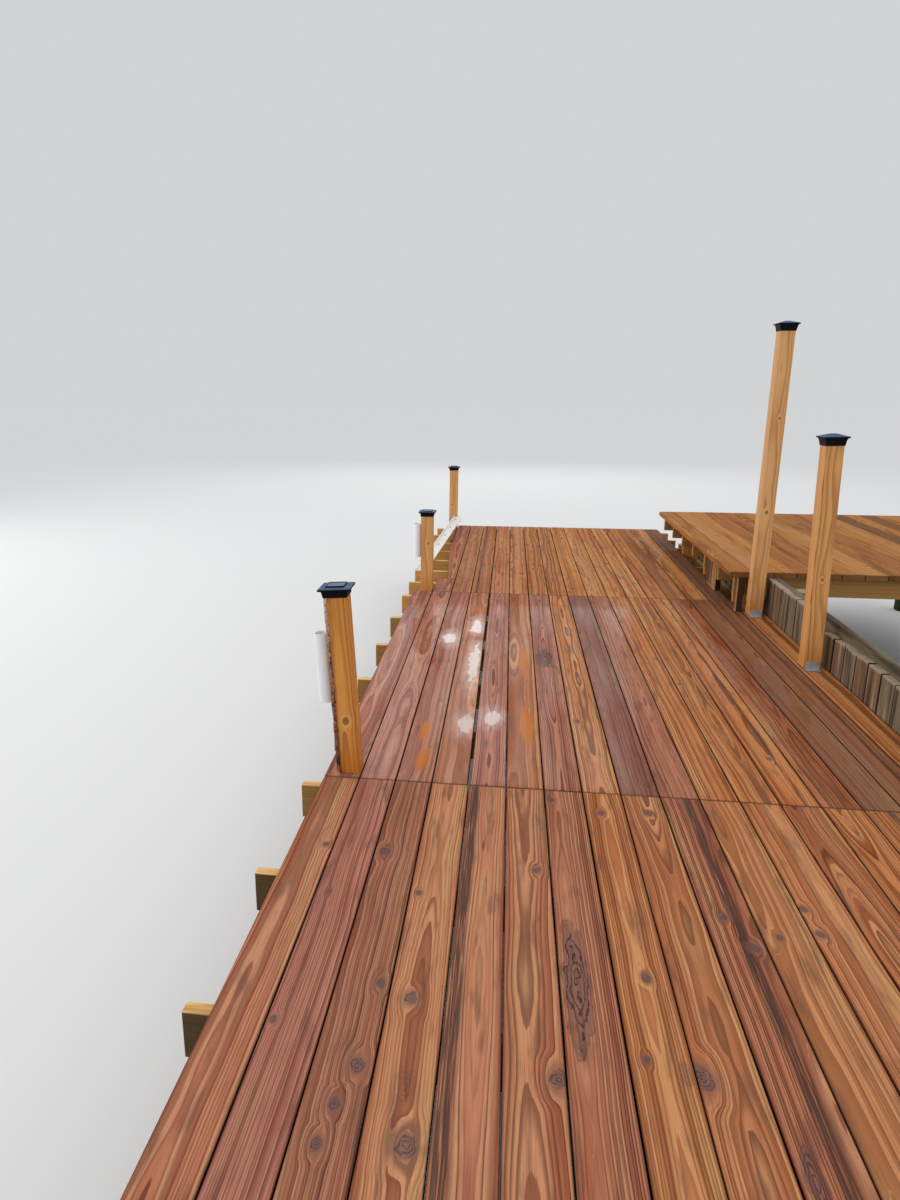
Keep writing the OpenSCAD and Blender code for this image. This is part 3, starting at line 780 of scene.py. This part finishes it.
for bay, part in enumerate(PARTS):
    boards = []
    for row in range(2, ROWS - 1) if bay == FAR else range(ROWS):
        rng = np.random.default_rng(1000 + 100 * bay + row)
        look = BOARD_LOOKS.get((bay, row), drawn_look(bay, row, rng))
        # Two boards of the middle bay have shrunk away from each other.
        shrunk = GAP if bay == 1 and row in (3, 4) else 0
        width = SIX - shrunk
        middle = row * PITCH + SIX / 2 + shrunk / 2 * (-1 if row == 3 else 1)
        line = board_line(3000 + 100 * bay + row, rng.uniform(-1.2, 0), width=width,
                          right=notch if row == 0 else None)
        boards.append(timber((middle, bay * BAY + GAP / 2, DECK), ALONG, width, THICK, BAY - GAP,
                             seed=2000 + 100 * bay + row, face_points=3, step=300, shape=line,
                             shut=(0 if row == 0 else 1, 1), **look))
    if bay == FAR:
        # The two outer rows are cut off at a slant: row, start, end, seed, tone, step, left edge
        joint, wedge = joist_places(FAR)[[1, 5]] + THICK / 2
        half = GAP / 2
        for row, a, b, seed, tone, step, left in (
                (1, FAR * BAY + half, joint - half, 41, (0.2, 0.15, 0.5), 400, None),
                (1, joint + half, JETTY - half, 43, (0.15, 0.2, 0.5), 120, cut_edge(joint + half, PITCH)),
                (0, wedge + half, POST_Y[3] - 3, 45, (0.1, 0.3, 0.5), 120, cut_edge(wedge + half))):
            line = board_line(seed + 1, left=left)
            boards.append(timber((row * PITCH + SIX / 2, a, DECK), ALONG, SIX, THICK, b - a, seed=seed,
                                 face_points=3, step=step, tone=tone, shut=(0, 1), shape=line))
    join(f"boards_{part}_bay", boards, [f"deck_boards_{part}"], wet)

# Post caps
# Moulded black plastic caps pushed over the water posts: a flared collar, a thin brim with a
# bevelled top, and a raised frame round a dark blue-grey panel. The shore posts have plain ones
# with a low roof.


def cap_plastic(tree):
    """Black moulded plastic, with a painted blue-grey sky reflection on the faces that look up."""
    x, y, z = position(tree)
    normal_z = split(tree.nodes.new("ShaderNodeNewGeometry").outputs["Normal"])[2]
    dust = noise(x * 40, y * 40, z * 40, 4)
    colour = layered(
        blend(dust.soft(0.45, 0.75) * 0.4, (0.003, 0.003, 0.005), (0.009, 0.009, 0.012)),
        # Painted reflection of blue sky on the faces that look up
        (normal_z.soft(0.6, 0.9) * (0.75 + dust * 0.25), (0.06, 0.11, 0.215)))
    return colour, 0.45 + dust * 0.2, None, noise(x * 900, y * 900, z * 900)


def panel_glass(tree):
    """A dark solar panel under clear glass: blue-grey cells with a thin dusty film."""
    x, y, z = position(tree)
    film = noise(x * 60, y * 60, z * 60, 3)
    colour = blend(film.soft(0.4, 0.8), (0.02, 0.04, 0.085), (0.07, 0.11, 0.2))
    return colour, 0.15 + film * 0.15, None, None


black = shade("black cap plastic", cap_plastic, bump_depth=0.00006, Specular_IOR_Level=0.1)
glass = shade("panel", panel_glass, Specular_IOR_Level=0.3)


def on_post(x, y, bend, turn, rise, aside=0):
    """A point so far above the bend of a leaning post, on its middle line or aside from it to the
    water side, and the direction of that line. x and y are the middle of its near face."""
    up, across = slope(turn)
    edge = np.array([x + POST / 2, y + POST / 2, bend])
    return edge + rise * up - (POST / 2 + aside) * across, up


BRIM = ((61.6, 0), (62.7, 0.4), (63, 1.2), (63, 6.4), (62.6, 7.3), (61.6, 8))
WATER_CAP = ((45, 0), (45, -27), (45.5, -28), (47.1, -28), (47.6, -27.3), (48.4, -20), (49.8, -12),
             (51.8, -5), (53.6, -1), (54.5, -0.2), *BRIM, (52, 9.2), (41, 10.2), (39, 10.5))
SHORE_CAP = ((45, 0), (45, -37), (45.5, -38), (47.1, -38), (47.6, -37.3), (48.8, -28), (51, -15),
             (54.5, -4), (56.8, -0.2), *BRIM, (40, 14.5), (18, 21.2), (15.8, 21.9))
PANEL_FRAME = ((37, 10.3), (37, 15.4), (36.4, 16.2), (35.4, 16.5), (32.2, 16.5), (31.6, 16.1), (31.4, 14.6))
PANEL = ((31.6, 14), (31.6, 14.9), (31.2, 15))
frames = []
panels = []
for i in range(4):
    top, axis = on_post(POST_X, POST_Y[i], DECK, POST_LEAN[i], POST_RISE[i])
    cap = turned(WATER_CAP, top, axis, square=4)
    join(f"cap_{i + 1}", [cap], [f"water_cap_{i + 1}"], black)
    frames.append(turned(PANEL_FRAME, top, axis, square=3))
    panels.append(turned(PANEL, top, axis, square=1))
join("panel_frames", frames, ["cap_panels"], black)
join("panels", panels, [], glass)

# Rod holders
# Two white plastic pipes, open at both ends, fixed to the water side of the second and third post.
# They are cut from plain drain pipe, with the sawn ends eased.
PIPE = 30


def white_plastic(tree):
    """White pipe: a little chalky, with thin dirt that runs down it."""
    x, y, z = position(tree)
    runs = noise(x * 90, y * 90, z * 6, 3)
    colour = blend(runs.soft(0.55, 0.8) * 0.35, (0.84, 0.84, 0.85), (0.58, 0.57, 0.54))
    return colour, 0.35 + runs * 0.15, None, None


pvc = shade("white pipe", white_plastic)
for name, i, low, long in (("near", 1, 295, 283), ("far", 2, 248, 254)):
    base, axis = on_post(POST_X, POST_Y[i], DECK, POST_LEAN[i], low, POST / 2 + PIPE)
    wall = ((29, 0), (29.7, 0.3), (PIPE, 1), (PIPE, long - 1), (29.7, long - 0.3), (29, long), (27, long),
            (26.3, long - 0.3), (26, long - 1), (26, 1), (26.3, 0.3), (27, 0), (29, 0))
    join(f"pipe_{name}", [turned(wall, base, axis, 48)], [f"rod_holder_{name}"], pvc)

# Bank wall
# Upright planks side by side, nailed to wales behind them, which are carried by posts. All of it is
# old grey-brown timber, streaked black and red and worn pale along the tops.
TO_WATER = (0, 0, 1), (-1, 0, 0)
WALL_X, WALE_X, BANK_POST_X = 2450, 2507, 2570.5
WALL_STEP = 5790.3
WALL_TOP, STEP_TOP, LOW_TOP = 895, 755, 320
WALE_LENGTH = 3000


def grey_wood(tree):
    """Old timber: olive grey with black and red runs, pale on the worn top and green near the foot,
    with painted shade between the planks.
    """
    wood = use(tree, pine_figure, Wander=0.03, Ripple=0.004)
    across, below, along = attribute(tree, "wood")
    light, red, contrast = attribute(tree, "tone")
    side_far, end_far, shut = attribute(tree, "rim")
    runs = noise(across * 17, below * 17, along * 1.6, 5)
    worn = 1 - (end_far + (wood["Band"] - 0.5) * 0.02).soft(0.002, 0.018)
    green = 1 - (position(tree)[2] + (runs - 0.5) * 0.3).soft(0.15, 0.62)
    # Painted shade: the plank sides go almost black where a neighbour shuts them in.
    joint = (1 - side_far.soft(0.001, 0.009)) * end_far.soft(0, 0.002)
    colour = layered(
        blend(wood["Late wood"] * 0.5, (0.185, 0.135, 0.08), (0.085, 0.056, 0.034)),
        (red.soft(0.35, 0.9) * 0.6, (0.2, 0.085, 0.045)),
        (light.soft(0, 1) * 0.9, (0.4, 0.175, 0.055)),
        (runs.soft(0.5, 0.62) * 0.8, (0.04, 0.03, 0.019)),
        ((1 - runs).soft(0.54, 0.68) * 0.55 * contrast, (0.4, 0.32, 0.23)),
        ((light * -1).soft(0, 1) * 0.8, (0.06, 0.046, 0.028)),
        (wood["Fibre"].soft(0.5, 0.8) * 0.4, (0.07, 0.055, 0.035)),
        (worn * 0.6, (0.4, 0.32, 0.23)),
        (green, (0.04, 0.045, 0.018)),
        (joint * shut * 0.9, (0.012, 0.009, 0.007)))
    return colour, 0.85 - 0.1 * light, None, wood["Height"] + runs * 0.6


grey = shade("weathered planks", grey_wood, bump_depth=0.001, Specular_IOR_Level=0.2)


def worn_end(seed):
    """The top of a plank that weather has rounded and eaten unevenly."""
    rng = np.random.default_rng(seed)
    tilt, dish, lean_out = rng.uniform((-6, -0.7, -4), (6, 0.7, 3))

    def shape(across, below, run):
        high = np.clip((run - (run.max() - 60)) / 60, 0, 1)
        top = high * (tilt * across / 70 + dish * np.cos(across / 22) - 4)
        return across, below + lean_out * run / run.max(), run + np.minimum(top, 0) * (high > 0)
    return shape


def plank_tops(node, first, count):
    """The height of each plank of a CAD node, from its highest points. Half the gap is added to a
    point's place, so that the start of a plank isn't counted with the one before it."""
    co = np.empty(len(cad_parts[node].data.vertices) * 3, np.float32)
    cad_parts[node].data.vertices.foreach_get("co", co)
    co = (co.reshape(-1, 3) - SHIFT) * 1000
    slot = np.clip((co[:, 1] - first + GAP / 2) // PITCH, 0, count - 1)
    return [co[slot == k, 2].max() for k in range(count)]


for part, first, count in (("near", 0, 33), ("middle", 4930, 6), ("far", WALL_STEP, 19)):
    planks = []
    for k, high in enumerate(plank_tops(f"wall_planks_{part}", first, count)):
        rng = np.random.default_rng(500 + 50 * len(part) + k)
        width = SIX - rng.uniform(0, 2)
        seed, red, worn = rng.integers(1e6), rng.uniform(0, 1), worn_end(rng.integers(1e6))
        knot = (rng.uniform(-45, 45), rng.uniform(300, 800), rng.uniform(8, 15))
        planks.append(timber((WALL_X, first + k * PITCH + SIX / 2, 0), TO_WATER, width, THICK, high,
                             seed=seed, edge=3.5, face_points=3, step=120, tone=(0, red, 1), shut=(1, 1),
                             shape=worn, knots=(knot,)))
    join(f"planks_{part}", planks, [f"wall_planks_{part}"], grey)
for name, node, start, end, top in (
        ("wale_top", "wall_wale", 0, WALL_STEP, WALL_TOP),
        ("wale_far", "wall_wale_far", WALL_STEP, WALL_END, STEP_TOP),
        ("wale_low", "wall_wale_low", 0, WALL_END, LOW_TOP)):
    ends = np.unique(np.clip(np.arange(start, end + WALE_LENGTH, WALE_LENGTH), start, end))
    wales = [timber((WALE_X, a + 0.5, top), ALONG, THICK, SIX, b - a - 1, seed=700 + k, edge=4,
                    step=300, tone=(-0.45, 0.2 * k, 0.6)) for k, (a, b) in enumerate(zip(ends, ends[1:]))]
    join(name, wales, [node], grey)
posts = [timber((BANK_POST_X, i * 1800, 0), UPRIGHT, POST, POST, STEP_TOP if i == 4 else WALL_TOP,
                seed=740 + i, edge=4, tone=(-0.35, 0.3, 0.6)) for i in range(5)]
join("bank_posts", posts, ["wall_posts"], grey)

# Shore posts
# Two taller posts on the land side, each on a bent galvanised shoe nailed to the deck, with plain
# black caps. The near one leans a little to the water side.
SHORE_X = 2365.5
SHORE_Y = (4628, 5697.286)
SHORE_RISE = (1243, 1868)
SHORE_LEAN = np.radians((1.6, 0))
SHORE_LOOKS = (
    dict(heart=(30, -150, 7), tone=(0, 0.5, 1), knots=((5, 500, 10),)),
    dict(heart=(-20, -140, 7), tone=(0, 0.75, 0.8), knots=((-5, 700, 11), (8, 1300, 9))),
)
SHOE = 3
SHOE_RISE = 65
NAIL = ((4.5, 0), (4.2, 1.2), (2.5, 2))


def dress(node, material):
    """Gives a CAD node that is shown as it is its finish."""
    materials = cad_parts[node].data.materials
    materials.clear()
    materials.append(material)


for i, part in enumerate(("near", "far")):
    y = SHORE_Y[i]
    bent = lean(SHORE_LEAN[i], SHOE_RISE - SHOE)
    post = timber((SHORE_X, y, DECK + SHOE), UPRIGHT, POST, POST, SHORE_RISE[i] - SHOE - CAP_ROOM,
                  seed=21 + i, edge=3.5, step=80, shape=bent, **SHORE_LOOKS[i])
    join(f"post_by_shore_{part}", [post], [f"shore_post_{part}"], honey)
    top, axis = on_post(SHORE_X, y, DECK + SHOE_RISE, SHORE_LEAN[i], SHORE_RISE[i] - SHOE_RISE)
    cap = turned(SHORE_CAP, top, axis, square=4)
    join(f"shore_cap_{part}_top", [cap], [f"shore_cap_{part}"], black)
    dress(f"shore_shoe_{part}", zinc)
    nails = []
    for x in (-22, 0, 22):
        for aside, height in ((-21, DECK + SHOE), (110, DECK + SHOE)):
            nails.append(turned(NAIL, (SHORE_X + x, y + aside, height), (0, 0, 1), 12))
        nails.append(turned(NAIL, (SHORE_X + x, y - SHOE, DECK + 30 + x * 0.3), (0, -1, 0), 12))
    join(f"shoe_nails_{part}", nails, [], zinc)

# Raised deck
# A second deck stands on the bank wall and reaches over the land side of the far bay: boards on
# joists that lie halfway between those below, with a rim, a beam and posts on the land side. Short
# stubs and planks prop its water side.
RAISED_X, RAISED_Y, RAISED_L = 2200, 5790.286, 2760
RAISED = WALL_TOP + THICK
RIM_X, LAND_BEAM_X, LAND_POST_X = 4625, 4513, 4576.5
STUB_X, SKIRT_X = 2350.5, 2262


def orange_wood(tree):
    """Boards of the raised deck: drier and more orange than those below, with darker brown patches
    and painted shade in the gaps.
    """
    wood = use(tree, pine_figure, Wander=0.05, Ripple=0.004)
    across, below, along = attribute(tree, "wood")
    light, hue, contrast = attribute(tree, "tone")
    _, end_far, shut = attribute(tree, "rim")
    band = wood["Band"]
    tint = noise(across * 11, below * 11, along * 1.1, 3)
    # Painted shade: the sides of a board below its top face go almost black where a neighbour shuts them in.
    inside = (below * -1).soft(0.002, 0.012) * end_far.soft(0, 0.004)
    colour = layered(
        blend(hue, (0.38, 0.132, 0.05), (0.54, 0.225, 0.05)),
        (tint.soft(0.5, 0.64) * 0.75, (0.22, 0.072, 0.022)),
        (wood["Ring tone"].soft(0.5, 1) * 0.4, (0.56, 0.31, 0.115)),
        (wood["Late wood"] * contrast, (0.14, 0.045, 0.012)),
        (wood["Fibre"].soft(0.35, 0.8) * 0.35, (0.12, 0.05, 0.02)),
        (band.soft(0.45, 0.75) * 0.5, (0.19, 0.09, 0.033)),
        ((light * -1).soft(0, 1) * 0.8, (0.105, 0.054, 0.028)),
        (light.soft(0, 1) * 0.5, (0.58, 0.32, 0.135)),
        (wood["Streak"], (0.08, 0.042, 0.028)),
        (wood["Knot"] * 0.9, (0.09, 0.045, 0.03)),
        ((1 - end_far.soft(0, 0.012)) * 0.6, (0.09, 0.045, 0.02)),
        (inside * shut, (0.012, 0.008, 0.005)))
    return colour, 0.55 - band * 0.1, 0.12 * band, wood["Height"]


orange = shade("raised boards", orange_wood, bump_depth=0.0005, Specular_IOR_Level=0, Coat_Roughness=0.06)
boards = []
for row in range(ROWS):
    rng = np.random.default_rng(1500 + row)
    line = board_line(1700 + row, rng.uniform(-1.2, 0), crooked=0 if row == ROWS - 1 else 1)
    tone = (rng.uniform(-0.9, 0.6) * (row > 0), rng.uniform(0, 1), rng.uniform(0.7, 1))
    heart = (rng.uniform(-90, 90), rng.uniform(-80, -20), rng.uniform(4.5, 7))
    knot = (rng.uniform(-50, 50), rng.uniform(150, 2600), rng.uniform(8, 15))
    boards.append(timber((RAISED_X + row * PITCH + SIX / 2, RAISED_Y, RAISED), ALONG, SIX, THICK, RAISED_L,
                         seed=1600 + row, face_points=3, step=300, shape=line, tone=tone, heart=heart,
                         knots=(knot,), shut=(0 if row == 0 else 1, 0 if row == ROWS - 1 else 1)))
join("raised_deck_boards", boards, ["raised_boards"], orange)
space = BAY / 7
raised_joist = joist_places(FAR)[0] + (np.arange(7) - 0.5) * space
joists = [timber((RAISED_X + 50, y + THICK / 2, WALL_TOP), ACROSS, THICK, SIX, 2356, seed=1800 + k, edge=2.5)
          for k, y in enumerate(raised_joist)]
join("raised_deck_joists", joists, ["raised_joists"], framing)
rim = timber((RIM_X, RAISED_Y, WALL_TOP), ALONG, THICK, SIX, RAISED_L, seed=1820, edge=2.5)
join("raised_deck_rim", [rim], ["raised_rim"], framing)
beam = timber((LAND_BEAM_X, RAISED_Y, STEP_TOP), ALONG, THICK, EIGHT, RAISED_L, seed=1821, edge=2.5)
join("land_beam", [beam], ["raised_land_beam"], framing)
posts = [timber((LAND_POST_X, RAISED_Y + i * (RAISED_L - POST) / 2, 0), UPRIGHT, POST, POST, STEP_TOP,
                seed=1830 + i, edge=4, tone=(0, 0.4, 1)) for i in range(3)]
join("land_posts", posts, ["raised_land_posts"], grey)
feet = ((6056, DECK), (joist_places(FAR)[2], JOIST_TOP), (joist_places(FAR)[4], JOIST_TOP))
stubs = [timber((STUB_X, y, z), UPRIGHT, POST, THICK, WALL_TOP - z, seed=1840 + k, edge=2.5,
                tone=(0.2, 0.5, 1)) for k, (y, z) in enumerate(feet)]
join("stubs", stubs, ["raised_props"], honey)
# A narrow plank at the corner, and a pair in the middle of the second space between the joists
pair = raised_joist[1] + (space + THICK - 2 * SIX - GAP) / 2
planks = [timber((SKIRT_X, y + width / 2, DECK), TO_WATER, width, THICK, WALL_TOP - DECK, seed=1850 + k,
                 edge=2.5, tone=(0.8, 1, 0.2), shut=(1, 1))
          for k, (y, width) in enumerate(((RAISED_Y + 4, 65), (pair, SIX), (pair + PITCH, SIX)))]
join("skirt_planks", planks, ["raised_skirt"], grey)

# Bumper strip
# An off-white vinyl edge strip with a round bead and a slotted nailing flange. It has come off and
# lies from a bare joist end to the last post.


def chalky_vinyl(tree):
    """Vinyl that the sun has chalked: off-white with grey dirt along it."""
    x, y, z = position(tree)
    dirt = noise(x * 60, y * 7, z * 60, 4)
    colour = blend(dirt.soft(0.48, 0.75) * 0.55, (0.7, 0.7, 0.64), (0.34, 0.32, 0.26))
    return colour, 0.6 + dirt * 0.2, None, dirt


dress("edge_bumper", shade("chalky vinyl", chalky_vinyl, bump_depth=0.0003))

# Floor and light
# A pale floor at height 0 under even light from all round, with a wide lamp overhead, one on the
# water side, and one beyond the far end, whose light shines back from the wet middle bay.


def when_seen(tree, lit, seen):
    """A colour that lights the object as lit, and that the camera, a reflection or glass sees as seen."""
    rays = tree.nodes.new("ShaderNodeLightPath").outputs
    straight, glossy, through = [Wire(rays[f"Is {way} Ray"]) for way in ("Camera", "Glossy", "Transmission")]
    return blend((straight + glossy + through).math("MINIMUM", 1), lit, seen)


def floor_paint(tree):
    """Flat pale grey paint."""
    return when_seen(tree, (0.38, 0.38, 0.38), (0.68, 0.68, 0.675)), 0.9, None, None


floor_mesh = bpy.data.meshes.new("floor")
floor_mesh.from_pydata([(-90, -90, 0), (90, -90, 0), (90, 90, 0), (-90, 90, 0)], [], [(0, 1, 2, 3)])
floor_mesh.materials.append(shade("floor paint", floor_paint, Specular_IOR_Level=0))
floor = bpy.data.objects.new("floor", floor_mesh)
bpy.context.scene.collection.objects.link(floor)

world = bpy.data.worlds.new("studio")
bpy.context.scene.world = world
world.use_nodes = True
sky = world.node_tree.nodes["Background"]
feed(sky.inputs["Color"], when_seen(world.node_tree, (0.95, 0.96, 0.98), (0.64, 0.652, 0.66)))
sky.inputs["Strength"].default_value = 1
for name, place, aim, size, watts in (
        ("overhead", (-3, -2, 8), (0, 0, 0.6), (9, 14), 55),
        ("water side", (-12, 0, 3.5), (0, 0, 0.8), (12, 4), 420),
        ("beyond", (-2, 17, 7.5), (-1, 0, 0.6), (8, 5), 260)):
    lamp = bpy.data.objects.new(name, bpy.data.lights.new(name, "AREA"))
    lamp.data.shape = "RECTANGLE"
    lamp.data.size, lamp.data.size_y = size
    lamp.data.energy = watts
    lamp.location = place
    lamp.rotation_euler = (Vector(aim) - Vector(place)).to_track_quat("-Z", "Y").to_euler()
    lamp.visible_camera = False
    bpy.context.scene.collection.objects.link(lamp)
